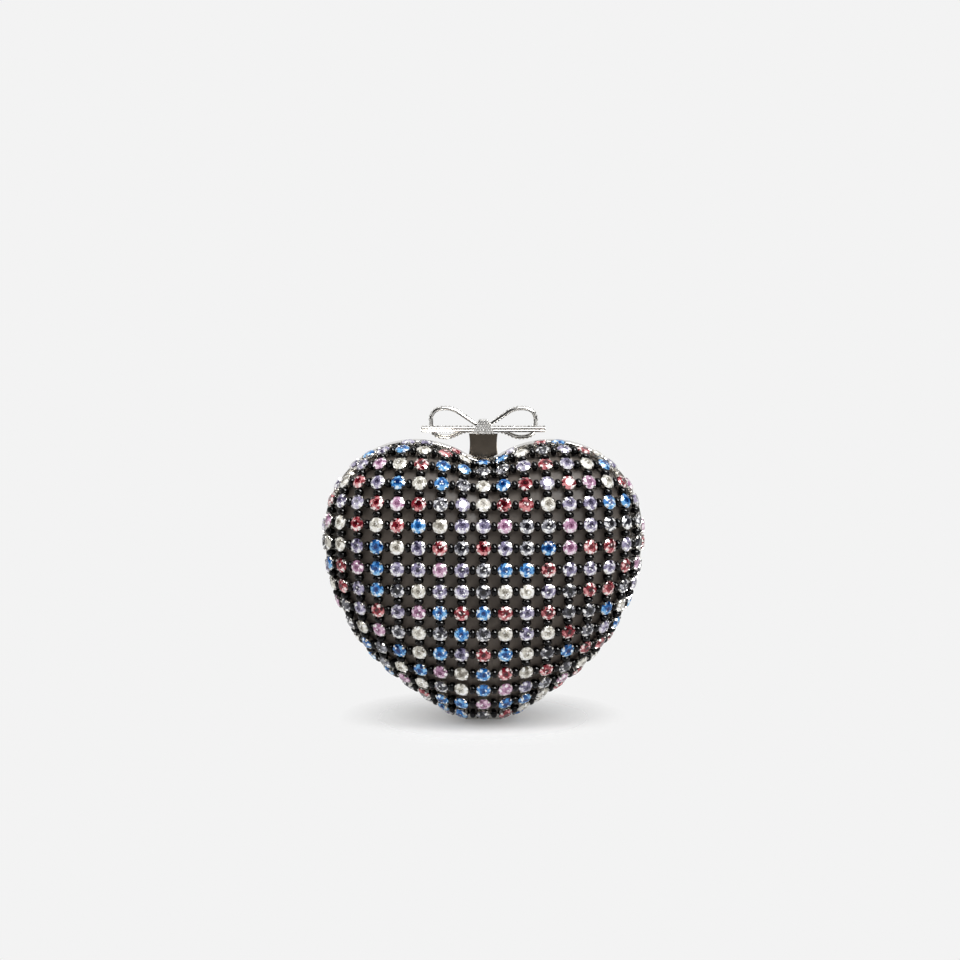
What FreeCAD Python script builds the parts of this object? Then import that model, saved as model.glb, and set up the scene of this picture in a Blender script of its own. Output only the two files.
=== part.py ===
import FreeCAD, Part
import math
import os
import random
import Sketcher

# A heart shaped evening purse: two domed half shells in polished frames that meet on the plane Y = 0,
# hinged at the tip and held by a clasp with a bow at the notch. The front faces -Y, +Z is up and the flat
# tip stands on Z = 0.

Vector = FreeCAD.Vector

doc = FreeCAD.newDocument("heart_purse")
sheet = doc.addObject("Spreadsheet::Sheet", "Sizes")

# Driving sizes in millimetres
SIZES = [
    ("heart_height", 101.0, "top of the lobes above the flat tip"),
    ("lobe_radius", 32.3, "outer round of each lobe"),
    ("lobe_offset", 24.7, "lobe centre from the middle"),
    ("crown_radius", 36.0, "flatter round from each lobe's top to the notch"),
    ("notch_radius", 11.0, "hollow round of the notch"),
    ("side_radius", 66.0, "round of each side below its lobe"),
    ("flank_radius", 300.0, "nearly straight flank from each side to the tip"),
    ("base_half_width", 6.5, "half the flat at the tip"),
    ("rim_depth", 5.0, "each frame, front to back"),
    ("rim_wall", 3.8, "each frame, outside to inside"),
    ("parting_gap", 0.15, "each frame from the parting plane"),
    ("shell_inset", 2.6, "shell's edge in from the frame's outside"),
    ("shell_wall", 1.5, "shell thickness"),
    ("dome_rise", 27.0, "height of the dome above its frame"),
    ("dome_power", 2.25, "fullness of the dome, where 2 is an ellipse"),
    ("dome_centre", 54.0, "height of the dome's middle above the tip"),
    ("lining_gap", 0.15, "lining from the shell"),
    ("lining_wall", 0.8, "lining thickness"),
    ("lining_edge", 3.6, "lining's mouth from the parting plane"),
    ("hinge_height", 2.0, "hinge axis above the tip"),
    ("hinge_room", 3.3, "depth of the hinge slot in each frame"),
    ("hinge_slot_half", 11.6, "half the hinge slot's length"),
    ("barrel_radius", 1.9, "hinge knuckles"),
    ("barrel_length", 3.1, "one hinge knuckle"),
    ("barrel_gap", 0.1, "between hinge knuckles"),
    ("leaf_thickness", 0.9, "hinge leaf"),
    ("leaf_drop", 1.4, "leaf below the hinge axis"),
    ("leaf_rise", 1.6, "leaf above the hinge axis"),
    ("web_height", 1.6, "web from leaf to knuckle"),
    ("hinge_pin_radius", 0.7, "hinge pin"),
    ("hinge_pin_end", 0.2, "hinge pin past the last knuckle"),
    ("running_fit", 0.03, "pins in their bores"),
    ("lever_half_width", 5.2, "half the clasp plate"),
    ("lever_waist", 0.35, "how far the plate's sides draw in"),
    ("lever_thickness", 1.2, "clasp plate"),
    ("lever_front", 1.0, "clasp plate behind the parting plane"),
    ("lever_rise", 9.2, "top of the clasp plate above the notch"),
    ("lever_clearance", 0.35, "foot of the clasp plate from the notch"),
    ("clasp_pin_radius", 0.6, "clasp pin"),
    ("clasp_pin_setback", 3.6, "clasp pin behind the parting plane"),
    ("clasp_pin_rise", 2.3, "clasp pin above the notch"),
    ("ear_radius", 1.0, "bracket ears and lever knuckle round the clasp pin"),
    ("ear_half_gap", 2.9, "inside of each bracket ear from the middle"),
    ("ear_thickness", 1.0, "bracket ear"),
    ("bracket_foot", 0.8, "bracket's foot plate"),
    ("seat_clearance", 0.2, "bracket in its seat"),
    ("lever_barrel_half", 1.6, "half the lever's knuckle"),
    ("spring_gap", 0.1, "clasp spring from its neighbours"),
    ("hook_half_width", 2.0, "half the hook"),
    ("hook_reach", 2.6, "tip of the hook in front of the parting plane"),
    ("hook_tip", 0.7, "hook's beak, front to back"),
    ("hook_arm", 0.6, "hook's arm, top to bottom"),
    ("hook_bite", 0.4, "beak below the arm"),
    ("hook_slot_clearance", 0.4, "hook from the sides of its slot"),
    ("hook_swing_room", 1.0, "slot in front of the hook"),
    ("strike_clearance", 0.3, "beak above the strike"),
    ("strike_height", 0.9, "strike bar"),
    ("strike_depth", 0.8, "strike bar, front to back"),
    ("strike_setback", 0.9, "strike bar in front of the parting plane"),
    ("ribbon_width", 2.4, "bow ribbon, front to back"),
    ("ribbon_thickness", 1.0, "ribbon of the bow's loops"),
    ("tail_thickness", 1.9, "ribbon of the bow's tails"),
    ("ribbon_gap", 0.1, "loops behind the tails"),
    ("tail_reach", 22.3, "bow tail's end from the middle"),
    ("tail_front", 1.4, "bow tails in front of the parting plane"),
    ("tail_drop", 0.8, "bow tails below the knot's middle"),
    ("knot_foot_half", 4.0, "half the bow knot where it sits on the clasp plate"),
    ("knot_top_half", 1.6, "half the bow knot at its top"),
    ("knot_height", 5.2, "bow knot"),
    ("knot_lift", 2.4, "knot's middle above the clasp plate"),
    ("knot_lip", 0.3, "knot past the ribbons, front and back"),
    ("crystal_radius", 0.58, "tiny stone on the bow"),
    ("crystal_height", 0.45, "tiny stone on the bow"),
    ("crystal_pitch", 1.35, "between tiny stones"),
    ("crystal_gap", 0.03, "tiny stone from the bow's face"),
    ("net_pitch", 7.5, "between stones of the net"),
    ("net_gather", 0.88, "share of the pitch between the rows drawn together at the tip"),
    ("net_even_rows", 5, "rows below the middle row before they are drawn together"),
    ("net_clear", 5.6, "least distance between two stones of the net"),
    ("net_level", 58.4, "middle row of the net above the tip"),
    ("net_lift", 1.5, "strung line of the net above the shell"),
    ("net_edge", 2.9, "outermost stones above the frame's face"),
    ("net_fill", 5.9, "least distance from a stone of the edge row to any other"),
    ("floor_gap", 0.3, "lowest stone above the flat tip"),
    ("back_show", 0.3, "most that a back stone shows over the frame, seen from the front"),
    ("seat_gap", 0.3, "cups and beads from the shell"),
    ("cup_radius", 2.65, "stone cup"),
    ("cup_foot_radius", 2.0, "foot of the stone cup"),
    ("cup_foot_height", 0.8, "where the cup reaches its full width"),
    ("cup_height", 2.2, "stone cup"),
    ("cup_floor", 0.5, "floor of the stone cup"),
    ("stone_radius", 2.35, "stone at its girdle"),
    ("stone_girdle", 0.2, "height of the girdle"),
    ("stone_crown", 0.75, "crown above the girdle"),
    ("stone_table", 1.35, "radius of the flat top"),
    ("stone_culet", 0.75, "radius of the blunt lower end"),
    ("stone_fit", 0.06, "stone from its cup"),
    ("bead_radius", 1.45, "black bead"),
    ("bead_chamfer", 0.4, "round of the bead's ends"),
    ("bead_gap", 0.25, "bead from the cups beside it"),
]
for row, (alias, value, meaning) in enumerate(SIZES, start=1):
    sheet.set(f"A{row}", meaning)
    sheet.set(f"B{row}", str(value))
    sheet.setAlias(f"B{row}", alias)
doc.recompute()


def size(alias):
    return float(sheet.get(alias))


# Expressions for places that several pieces share
LOBE_LEVEL = "(Sizes.heart_height - Sizes.lobe_radius)"
NOTCH_CENTRE = (
    "(Sizes.heart_height - Sizes.crown_radius"
    " + sqrt((Sizes.crown_radius + Sizes.notch_radius)^2 - Sizes.lobe_offset^2))"
)
NOTCH = f"({NOTCH_CENTRE} - Sizes.notch_radius)"
LEVER_TOP = f"({NOTCH} + Sizes.lever_rise)"
LEVER_BACK = "(Sizes.lever_front + Sizes.lever_thickness)"
CLASP_PIN_LEVEL = f"({NOTCH} + Sizes.clasp_pin_rise)"
KNOT_LEVEL = f"({LEVER_TOP} + Sizes.knot_lift)"
LOOP_FRONT = "(Sizes.ribbon_width + Sizes.ribbon_gap - Sizes.tail_front)"
HOOK_SLOT_HALF = "(Sizes.hook_half_width + Sizes.hook_slot_clearance)"


# The heart outline: tangent arcs from the notch over crown, lobe, side and flank to the flat tip
TINY = 1e-6


class Heart:
    """The heart moved inwards by inset, as arcs of its right half in the X-Z plane."""

    def __init__(self, inset):
        offset = size("lobe_offset")
        lobe_level = size("heart_height") - size("lobe_radius")
        half_width = offset + size("lobe_radius")
        crown_level = size("heart_height") - size("crown_radius")
        reach = size("crown_radius") + size("notch_radius")
        self.notch_centre = crown_level + math.sqrt(reach**2 - offset**2)
        self.base_level = inset
        self.notch_radius = size("notch_radius") + inset
        crown_radius = size("crown_radius") - inset
        share = crown_radius / reach
        rise = self.notch_centre - crown_level
        self.joint = Vector(offset * (1 - share), 0, crown_level + rise * share)
        self.top = Vector(offset, 0, size("heart_height") - inset)
        self.side = Vector(half_width - inset, 0, lobe_level)
        side_centre = Vector(half_width - size("side_radius"), 0, lobe_level)
        side_radius = size("side_radius") - inset
        flank_radius = size("flank_radius") - inset
        turn = flank_turn(side_centre)
        outward = Vector(math.cos(turn), 0, -math.sin(turn))
        flank_centre = side_centre - outward * (flank_radius - side_radius)
        flank_start = side_centre + outward * side_radius
        base_reach = math.sqrt(flank_radius**2 - (flank_centre.z - inset) ** 2)
        self.base = Vector(flank_centre.x + base_reach, 0, inset)
        # centre, radius, start and end of each arc on the right
        self.arcs = [
            (Vector(offset, 0, crown_level), crown_radius, self.joint, self.top),
            (Vector(offset, 0, lobe_level), size("lobe_radius") - inset, self.top, self.side),
            (side_centre, side_radius, self.side, flank_start),
            (flank_centre, flank_radius, flank_start, self.base),
        ]

    def curves(self):
        """Start, middle and end of every arc from the left of the notch to the tip, then up the left side."""
        notch_bottom = Vector(0, 0, self.notch_centre - self.notch_radius)
        right = [(arc[2], arc_middle(*arc), arc[3]) for arc in self.arcs]
        left = [(mirrored(end), mirrored(middle), mirrored(start)) for start, middle, end in reversed(right)]
        notch = (mirrored(self.joint), notch_bottom, self.joint)
        return [notch] + right, left

    def reach(self, direction):
        """How far the outline lies from the dome's middle in a direction of the X-Z plane."""
        middle = Vector(0, 0, size("dome_centre"))
        ray = Vector(abs(direction.x), 0, direction.z)
        spans = [(centre, radius, start, end, 1) for centre, radius, start, end in self.arcs]
        hollow = Vector(0, 0, self.notch_centre)
        spans.append((hollow, self.notch_radius, mirrored(self.joint), self.joint, -1))
        for centre, radius, start, end, side in spans:
            along = ray.dot(middle - centre)
            inside = along**2 - (middle - centre).Length ** 2 + radius**2
            if inside < 0:
                continue
            length = -along + side * math.sqrt(inside)
            heading = (arc_middle(centre, radius, start, end) - centre) / radius
            found = (middle + ray * length - centre).dot(heading)
            if length > 0 and found >= (start - centre).dot(heading) - TINY:
                return length
        return (self.base_level - middle.z) / ray.z


def flank_turn(side_centre):
    """How far the side's arc turns down from level before the flank runs on from it to the tip."""
    base = Vector(size("base_half_width"), 0, 0) - side_centre
    spread = size("flank_radius") - size("side_radius")
    wanted = (size("flank_radius") ** 2 - spread**2 - base.Length**2) / (2 * spread)
    return math.atan2(-base.z, base.x) - math.acos(wanted / base.Length)


def mirrored(point):
    return Vector(-point.x, point.y, point.z)


def arc_middle(centre, radius, start, end):
    heading = (start - centre) + (end - centre)
    return centre + heading.normalize() * radius


def heart_wire(inset, depth, scale=1.0):
    """A heart outline at depth along Y, scaled about the dome's middle."""
    level = size("dome_centre")

    def placed(point):
        return Vector(point.x * scale, depth, level + (point.z - level) * scale)

    right, left = Heart(inset).curves()
    arcs = [[placed(point) for point in curve] for curve in right + left]
    edges = [Part.Arc(*arc).toShape() for arc in arcs]
    tip = Part.LineSegment(arcs[len(right) - 1][2], arcs[len(right)][0]).toShape()
    edges.insert(len(right), tip)
    return Part.Wire(edges)


# Helpers for pieces made of blocks, rods and booleans
def bound(obj, path, expression):
    obj.setExpression(path, str(expression))


def block(name, low_x, high_x, low_y, high_y, low_z, high_z):
    """A box between two values on each axis, all given as expressions."""
    box = doc.addObject("Part::Box", name)
    spans = (("Length", "x", low_x, high_x), ("Width", "y", low_y, high_y), ("Height", "z", low_z, high_z))
    for side, axis, low, high in spans:
        bound(box, side, f"({high}) - ({low})")
        bound(box, f"Placement.Base.{axis}", low)
    return box


def centred_block(name, half, low_y, high_y, low_z, high_z):
    return block(name, f"-({half})", half, low_y, high_y, low_z, high_z)


def rod(name, radius, start_x, length, y, z):
    """A cylinder along X, all sizes given as expressions."""
    cylinder = doc.addObject("Part::Cylinder", name)
    cylinder.Placement = FreeCAD.Placement(Vector(), FreeCAD.Rotation(Vector(0, 1, 0), 90))
    bound(cylinder, "Radius", radius)
    bound(cylinder, "Height", length)
    for axis, value in (("x", start_x), ("y", y), ("z", z)):
        bound(cylinder, f"Placement.Base.{axis}", value)
    return cylinder


def fused(name, shapes):
    fusion = doc.addObject("Part::MultiFuse", name)
    fusion.Shapes = shapes
    fusion.Refine = True
    return fusion


def cut(name, base, tool):
    result = doc.addObject("Part::Cut", name)
    result.Base = base
    result.Tool = tool
    result.Refine = True
    return result


def feature(name, shape):
    result = doc.addObject("Part::Feature", name)
    result.Shape = shape
    return result


pieces = {}


def piece(node, obj):
    obj.Label = node
    pieces[node] = obj
    return obj


# Frames: a heart-shaped band each, slotted for the hinge at the tip and for the clasp at the notch
def add_dimension(sketch, kind, first, first_end, value, expression):
    number = sketch.addConstraint(Sketcher.Constraint(kind, first, first_end, value))
    sketch.setExpression(f"Constraints[{number}]", expression)


def add_radius(sketch, arc, value, expression):
    number = sketch.addConstraint(Sketcher.Constraint("Radius", arc, value))
    sketch.setExpression(f"Constraints[{number}]", expression)


def add_heart_loop(sketch, inset, inset_expression, outer_flanks=None):
    """One heart in a sketch on the X-Z plane: tangent arcs, a flat tip and the sizes that drive them.

    An inner heart shares the centres of the outer heart's flanks. The flanks of this heart are given back.
    """
    heart = Heart(inset)
    right, left = heart.curves()
    start_end, finish_end, centre_end = 1, 2, 3

    def flat(point):
        return Vector(point.x, point.z, 0)

    arcs = []
    for curve in right + left:
        arcs.append(sketch.addGeometry(Part.Arc(*[flat(point) for point in curve])))
    notch, crown, lobe, side, flank, left_flank, left_side, left_lobe, left_crown = arcs
    tip = sketch.addGeometry(Part.LineSegment(flat(heart.base), flat(mirrored(heart.base))))

    def ends(arc, curve):
        """Which end of the stored arc is the curve's start, and which is its finish."""
        first = sketch.getPoint(arc, start_end)
        same = (first - flat(curve[0])).Length < (first - flat(curve[2])).Length
        return (start_end, finish_end) if same else (finish_end, start_end)

    curves = right + left
    open_ends = [ends(arc, curve) for arc, curve in zip(arcs, curves)]
    for before, after in ((0, 1), (1, 2), (2, 3), (3, 4), (5, 6), (6, 7), (7, 8), (8, 0)):
        last, first = open_ends[before][1], open_ends[after][0]
        sketch.addConstraint(Sketcher.Constraint("Tangent", arcs[before], last, arcs[after], first))
    sketch.addConstraint(Sketcher.Constraint("Coincident", flank, open_ends[4][1], tip, start_end))
    sketch.addConstraint(Sketcher.Constraint("Coincident", left_flank, open_ends[5][0], tip, finish_end))
    sketch.addConstraint(Sketcher.Constraint("Horizontal", tip))
    if inset:
        add_dimension(sketch, "DistanceY", tip, start_end, inset, inset_expression)
    else:
        sketch.addConstraint(Sketcher.Constraint("PointOnObject", tip, start_end, -1))
    for arc, sign in ((lobe, 1), (left_lobe, -1)):
        offset = sign * size("lobe_offset")
        add_dimension(sketch, "DistanceX", arc, centre_end, offset, f"{sign} * Sizes.lobe_offset")
        add_dimension(sketch, "DistanceY", arc, centre_end, heart.side.z, LOBE_LEVEL)
    for arc, lobe_arc in ((crown, lobe), (left_crown, left_lobe)):
        sketch.addConstraint(Sketcher.Constraint("Vertical", arc, centre_end, lobe_arc, centre_end))
    for arc, lobe_arc in ((side, lobe), (left_side, left_lobe)):
        sketch.addConstraint(Sketcher.Constraint("Horizontal", arc, centre_end, lobe_arc, centre_end))
    crown_radius, lobe_radius, side_radius, flank_radius = [arc[1] for arc in heart.arcs]
    for arc in (lobe, left_lobe):
        add_radius(sketch, arc, lobe_radius, f"Sizes.lobe_radius - {inset_expression}")
    for arc in (crown, left_crown):
        add_radius(sketch, arc, crown_radius, f"Sizes.crown_radius - {inset_expression}")
    for arc in (side, left_side):
        add_radius(sketch, arc, side_radius, f"Sizes.side_radius - {inset_expression}")
    for arc in (flank, left_flank):
        add_radius(sketch, arc, flank_radius, f"Sizes.flank_radius - {inset_expression}")
    add_radius(sketch, notch, heart.notch_radius, f"Sizes.notch_radius + {inset_expression}")
    flanks = (flank, left_flank)
    if outer_flanks:
        for arc, outer_arc in zip(flanks, outer_flanks):
            sketch.addConstraint(Sketcher.Constraint("Vertical", arc, centre_end, outer_arc, centre_end))
    else:
        for end, sign in ((start_end, 1), (finish_end, -1)):
            reach = sign * heart.base.x
            add_dimension(sketch, "DistanceX", tip, end, reach, f"{sign} * Sizes.base_half_width")
    return flanks


def body_sketch(body, name):
    sketch = body.newObject("Sketcher::SketchObject", name)
    plane = next(item for item in body.Origin.OriginFeatures if item.Role == "XZ_Plane")
    sketch.AttachmentSupport = [(plane, "")]
    sketch.MapMode = "FlatFace"
    return sketch


def slot_pocket(body, name, half, half_expression, low, low_expression, high, high_expression, depth):
    """A square slot across the middle of a frame, cut to a depth on both sides of the parting plane."""
    sketch = body_sketch(body, f"{name}_sketch")
    corners = [Vector(-half, low, 0), Vector(half, low, 0), Vector(half, high, 0), Vector(-half, high, 0)]
    sides = []
    for start, end in zip(corners, corners[1:] + corners[:1]):
        sides.append(sketch.addGeometry(Part.LineSegment(start, end)))
    bottom, right, top, left = sides
    for first, second in zip(sides, sides[1:] + sides[:1]):
        sketch.addConstraint(Sketcher.Constraint("Coincident", first, 2, second, 1))
    for line in (bottom, top):
        sketch.addConstraint(Sketcher.Constraint("Horizontal", line))
    for line in (right, left):
        sketch.addConstraint(Sketcher.Constraint("Vertical", line))
    add_dimension(sketch, "DistanceX", bottom, 1, -half, f"-({half_expression})")
    add_dimension(sketch, "DistanceX", bottom, 2, half, half_expression)
    add_dimension(sketch, "DistanceY", bottom, 1, low, low_expression)
    add_dimension(sketch, "DistanceY", top, 1, high, high_expression)
    pocket = body.newObject("PartDesign::Pocket", name)
    pocket.Profile = sketch
    pocket.SideType = "Symmetric"
    pocket.setExpression("Length", f"2 * ({depth})")
    return pocket


def frame(node, side):
    """One frame: side is -1 for the front and 1 for the back."""
    body = doc.addObject("PartDesign::Body", node)
    sketch = body_sketch(body, f"{node}_outline")
    bound(sketch, "AttachmentOffset.Base.z", f"{-side} * Sizes.parting_gap")
    outer_flanks = add_heart_loop(sketch, 0, "0")
    add_heart_loop(sketch, size("rim_wall"), "Sizes.rim_wall", outer_flanks)
    pad = body.newObject("PartDesign::Pad", f"{node}_band")
    pad.Profile = sketch
    pad.Reversed = side > 0
    bound(pad, "Length", "Sizes.rim_depth - Sizes.parting_gap")
    doc.recompute()
    # the slots reach past the band's wall on both sides
    reach = 2 * size("rim_wall")
    past = "2 * Sizes.rim_wall"
    half = size("hinge_slot_half")
    high_expression = "Sizes.hinge_height + Sizes.barrel_radius + Sizes.rim_wall"
    high = size("hinge_height") + size("barrel_radius") + size("rim_wall")
    slot_pocket(body, f"{node}_hinge_slot", half, "Sizes.hinge_slot_half", -reach, f"-{past}", high,
                high_expression, "Sizes.hinge_room")
    heart = Heart(0)
    notch = heart.notch_centre - heart.notch_radius
    half = size("hook_half_width") + size("hook_slot_clearance")
    depth = f"{LEVER_BACK} + Sizes.lever_clearance"
    if side < 0:
        depth = "Sizes.hook_reach + Sizes.hook_swing_room"
    slot_pocket(body, f"{node}_hook_slot", half, HOOK_SLOT_HALF, notch - reach, f"{NOTCH} - {past}",
                notch + reach, f"{NOTCH} + {past}", depth)
    if side > 0:
        half = size("ear_half_gap") + size("ear_thickness") + size("seat_clearance")
        seat_half = "Sizes.ear_half_gap + Sizes.ear_thickness + Sizes.seat_clearance"
        slot_pocket(body, f"{node}_bracket_seat", half, seat_half, notch, NOTCH,
                    notch + reach, f"{NOTCH} + {past}", "2 * Sizes.rim_depth")
    doc.recompute()
    return piece(node, body)


front_rim = frame("front_rim", -1)
back_rim = frame("back_rim", 1)


# Shells and linings: domes whose sections are the heart scaled along a full quarter oval
DOME_SECTIONS = 10
DOME_CAP_ANGLE = math.radians(85)


def dome(inset, rise, side):
    wires = []
    share = 2 / size("dome_power")
    for number in range(DOME_SECTIONS):
        angle = DOME_CAP_ANGLE * number / (DOME_SECTIONS - 1)
        depth = size("rim_depth") + rise * math.sin(angle) ** share
        wires.append(heart_wire(inset, side * depth, math.cos(angle) ** share))
    return Part.makeLoft(wires, True, False)


def skirt(inset, side):
    """The straight wall inside the frame, from the lining's mouth to the foot of its dome."""
    start = heart_wire(inset, side * size("lining_edge"))
    length = size("rim_depth") - size("lining_edge")
    return Part.Face(start).extrude(Vector(0, side * length, 0))


def shell(side):
    outside = dome(size("shell_inset"), size("dome_rise"), side)
    inside = dome(size("shell_inset") + size("shell_wall"), size("dome_rise") - size("shell_wall"), side)
    return outside.cut(inside)


def lining(side):
    inset = size("shell_inset") + size("shell_wall") + size("lining_gap")
    rise = size("dome_rise") - size("shell_wall") - size("lining_gap")
    outside = dome(inset, rise, side).fuse(skirt(inset, side))
    inner_inset = inset + size("lining_wall")
    inside = dome(inner_inset, rise - size("lining_wall"), side).fuse(skirt(inner_inset, side))
    return outside.cut(inside)


for name, side in (("front", -1), ("back", 1)):
    piece(f"{name}_shell", feature(f"{name}_shell", shell(side)))
    piece(f"{name}_lining", feature(f"{name}_lining", lining(side)))


# Hinge: knuckles of the two leaves in turn along one pin, each leaf against the face of its frame's slot
KNUCKLES = 5
KNUCKLE_STEP = "(Sizes.barrel_length + Sizes.barrel_gap)"
HINGE_HALF = f"({KNUCKLES} * Sizes.barrel_length + {KNUCKLES - 1} * Sizes.barrel_gap) / 2"


def hinge_leaf(node, side, numbers):
    def across(near, far):
        """Two distances from the parting plane as low and high values on this side of it."""
        return (f"-({far})", f"-({near})") if side < 0 else (near, far)

    plate_low, plate_high = across("Sizes.hinge_room - Sizes.leaf_thickness", "Sizes.hinge_room")
    web_low, web_high = across("0", "Sizes.hinge_room")
    low = "Sizes.hinge_height - Sizes.leaf_drop"
    high = "Sizes.hinge_height + Sizes.leaf_rise"
    shapes = [centred_block(f"{node}_plate", HINGE_HALF, plate_low, plate_high, low, high)]
    for number in numbers:
        start = f"{number} * {KNUCKLE_STEP} - {HINGE_HALF}"
        shapes.append(rod(f"{node}_barrel_{number}", "Sizes.barrel_radius", start, "Sizes.barrel_length",
                          "0", "Sizes.hinge_height"))
        end = f"{start} + Sizes.barrel_length"
        shapes.append(block(f"{node}_web_{number}", start, end, web_low, web_high,
                            "Sizes.hinge_height - Sizes.web_height / 2",
                            "Sizes.hinge_height + Sizes.web_height / 2"))
    bore = rod(f"{node}_bore", "Sizes.hinge_pin_radius + Sizes.running_fit", f"-2 * {HINGE_HALF}",
               f"4 * {HINGE_HALF}", "0", "Sizes.hinge_height")
    return piece(node, cut(f"{node}_bored", fused(f"{node}_solid", shapes), bore))


hinge_leaf("front_hinge_leaf", -1, range(1, KNUCKLES, 2))
hinge_leaf("back_hinge_leaf", 1, range(0, KNUCKLES, 2))
piece("hinge_pin", rod("hinge_pin", "Sizes.hinge_pin_radius", f"-{HINGE_HALF} - Sizes.hinge_pin_end",
                       f"2 * {HINGE_HALF} + 2 * Sizes.hinge_pin_end", "0", "Sizes.hinge_height"))

# Clasp bracket: a foot in the seat of the back frame and two round ears for the pin
EAR_OUTSIDE = "(Sizes.ear_half_gap + Sizes.ear_thickness)"
BRACKET_FRONT = "(Sizes.clasp_pin_setback - Sizes.ear_radius)"
BRACKET_BACK = "(Sizes.clasp_pin_setback + Sizes.ear_radius)"
bracket = [centred_block("bracket_foot", EAR_OUTSIDE, BRACKET_FRONT, BRACKET_BACK, NOTCH,
                         f"{NOTCH} + Sizes.bracket_foot")]
for name, start in (("left", f"-{EAR_OUTSIDE}"), ("right", "Sizes.ear_half_gap")):
    bracket.append(block(f"bracket_{name}_ear", start, f"{start} + Sizes.ear_thickness", BRACKET_FRONT,
                         BRACKET_BACK, NOTCH, CLASP_PIN_LEVEL))
    bracket.append(rod(f"bracket_{name}_eye", "Sizes.ear_radius", start, "Sizes.ear_thickness",
                       "Sizes.clasp_pin_setback", CLASP_PIN_LEVEL))
bracket_bore = rod("bracket_bore", "Sizes.clasp_pin_radius + Sizes.running_fit", f"-2 * {EAR_OUTSIDE}",
                   f"4 * {EAR_OUTSIDE}", "Sizes.clasp_pin_setback", CLASP_PIN_LEVEL)
piece("clasp_bracket", cut("bracket_bored", fused("bracket_solid", bracket), bracket_bore))
piece("clasp_pin", rod("clasp_pin", "Sizes.clasp_pin_radius", f"-{EAR_OUTSIDE}", f"2 * {EAR_OUTSIDE}",
                       "Sizes.clasp_pin_setback", CLASP_PIN_LEVEL))

# Clasp spring: a return coil each side of the lever's knuckle, as plain sleeves on the pin
SPRING_START = "(Sizes.lever_barrel_half + Sizes.spring_gap)"
SPRING_LENGTH = f"(Sizes.ear_half_gap - Sizes.spring_gap - {SPRING_START})"
coils = []
for name, start in (("left", f"-{SPRING_START} - {SPRING_LENGTH}"), ("right", SPRING_START)):
    coils.append(rod(f"spring_{name}", "Sizes.ear_radius", start, SPRING_LENGTH, "Sizes.clasp_pin_setback",
                     CLASP_PIN_LEVEL))
spring_bore = rod("spring_bore", "Sizes.clasp_pin_radius + Sizes.spring_gap", f"-2 * {EAR_OUTSIDE}",
                  f"4 * {EAR_OUTSIDE}", "Sizes.clasp_pin_setback", CLASP_PIN_LEVEL)
piece("clasp_spring", cut("spring_bored", fused("spring_coils", coils), spring_bore))


# Clasp lever: the upright plate with drawn-in sides, its knuckle on the pin and the hook under its foot
def lever_plate():
    heart = Heart(0)
    radius = heart.notch_radius - size("lever_clearance")
    half = size("lever_half_width")
    top = heart.notch_centre - heart.notch_radius + size("lever_rise")
    corner = heart.notch_centre - math.sqrt(radius**2 - half**2)
    front = size("lever_front")
    waist = half - size("lever_waist")
    middle = (top + corner) / 2
    foot = Vector(0, front, heart.notch_centre - radius)
    right_top, right_foot = Vector(half, front, top), Vector(half, front, corner)
    outline = Part.Wire([
        Part.LineSegment(mirrored(right_top), right_top).toShape(),
        Part.Arc(right_top, Vector(waist, front, middle), right_foot).toShape(),
        Part.Arc(right_foot, foot, mirrored(right_foot)).toShape(),
        Part.Arc(mirrored(right_foot), Vector(-waist, front, middle), mirrored(right_top)).toShape(),
    ])
    return Part.Face(outline).extrude(Vector(0, size("lever_thickness"), 0))


HOOK_ARM_LOW = f"({NOTCH} - Sizes.hook_arm)"
HOOK_TIP_LOW = f"({HOOK_ARM_LOW} - Sizes.hook_bite)"
lever = [
    feature("lever_plate", lever_plate()),
    centred_block("lever_tongue", "Sizes.hook_half_width", "Sizes.lever_front", LEVER_BACK, HOOK_ARM_LOW,
                  CLASP_PIN_LEVEL),
    centred_block("lever_arm", "Sizes.hook_half_width", "-Sizes.hook_reach", LEVER_BACK, HOOK_ARM_LOW, NOTCH),
    centred_block("lever_beak", "Sizes.hook_half_width", "-Sizes.hook_reach",
                  "Sizes.hook_tip - Sizes.hook_reach", HOOK_TIP_LOW, NOTCH),
    centred_block("lever_web", "Sizes.lever_barrel_half", "Sizes.lever_front", "Sizes.clasp_pin_setback",
                  f"{CLASP_PIN_LEVEL} - Sizes.ear_radius / 2", f"{CLASP_PIN_LEVEL} + Sizes.ear_radius / 2"),
    rod("lever_barrel", "Sizes.ear_radius", "-Sizes.lever_barrel_half", "2 * Sizes.lever_barrel_half",
        "Sizes.clasp_pin_setback", CLASP_PIN_LEVEL),
]
lever_bore = rod("lever_bore", "Sizes.clasp_pin_radius + Sizes.running_fit", f"-2 * {EAR_OUTSIDE}",
                 f"4 * {EAR_OUTSIDE}", "Sizes.clasp_pin_setback", CLASP_PIN_LEVEL)
piece("clasp_lever", cut("lever_bored", fused("lever_solid", lever), lever_bore))

# Clasp strike: a bar across the slot of the front frame, under the beak of the hook
STRIKE_TOP = f"({HOOK_TIP_LOW} - Sizes.strike_clearance)"
STRIKE_FRONT = "-Sizes.strike_setback - Sizes.strike_depth"
strike = centred_block("clasp_strike", HOOK_SLOT_HALF, STRIKE_FRONT, "-Sizes.strike_setback",
                       f"{STRIKE_TOP} - Sizes.strike_height", STRIKE_TOP)
piece("clasp_strike", strike)

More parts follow.
